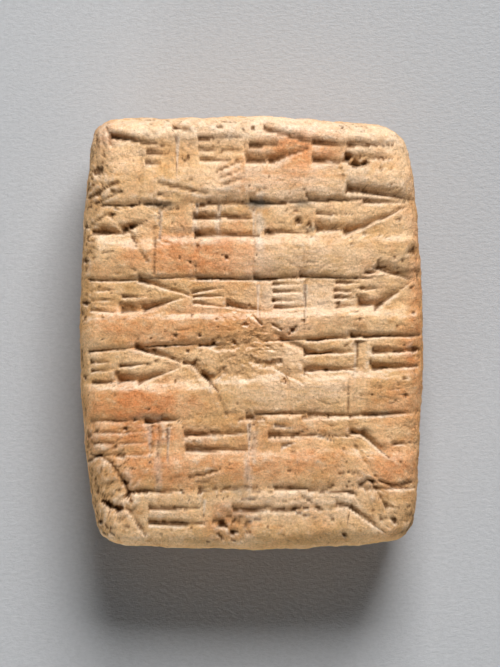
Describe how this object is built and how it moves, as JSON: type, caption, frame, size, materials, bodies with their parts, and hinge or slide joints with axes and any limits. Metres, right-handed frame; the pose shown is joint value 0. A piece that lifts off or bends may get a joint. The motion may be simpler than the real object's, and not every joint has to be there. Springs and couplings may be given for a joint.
{
  "type": "cuneiform tablet",
  "caption": "Small pillow-shaped clay tablet with ruled rows of wedge-shaped strokes pressed into its front and worn, chipped edges. It lies on its back.",
  "frame": {"origin": "under the middle of the tablet, on the flat spot of the back that it rests on", "axes": "+Z out of the written face, +Y towards the top of the text, +X towards the reader's right"},
  "size_m": [0.0334, 0.042, 0.014],
  "materials": {
    "clay": "dry matte clay, buff with orange patches"
  },
  "bodies": {
    "root": {"tablet": "clay"}
  },
  "joints": []
}
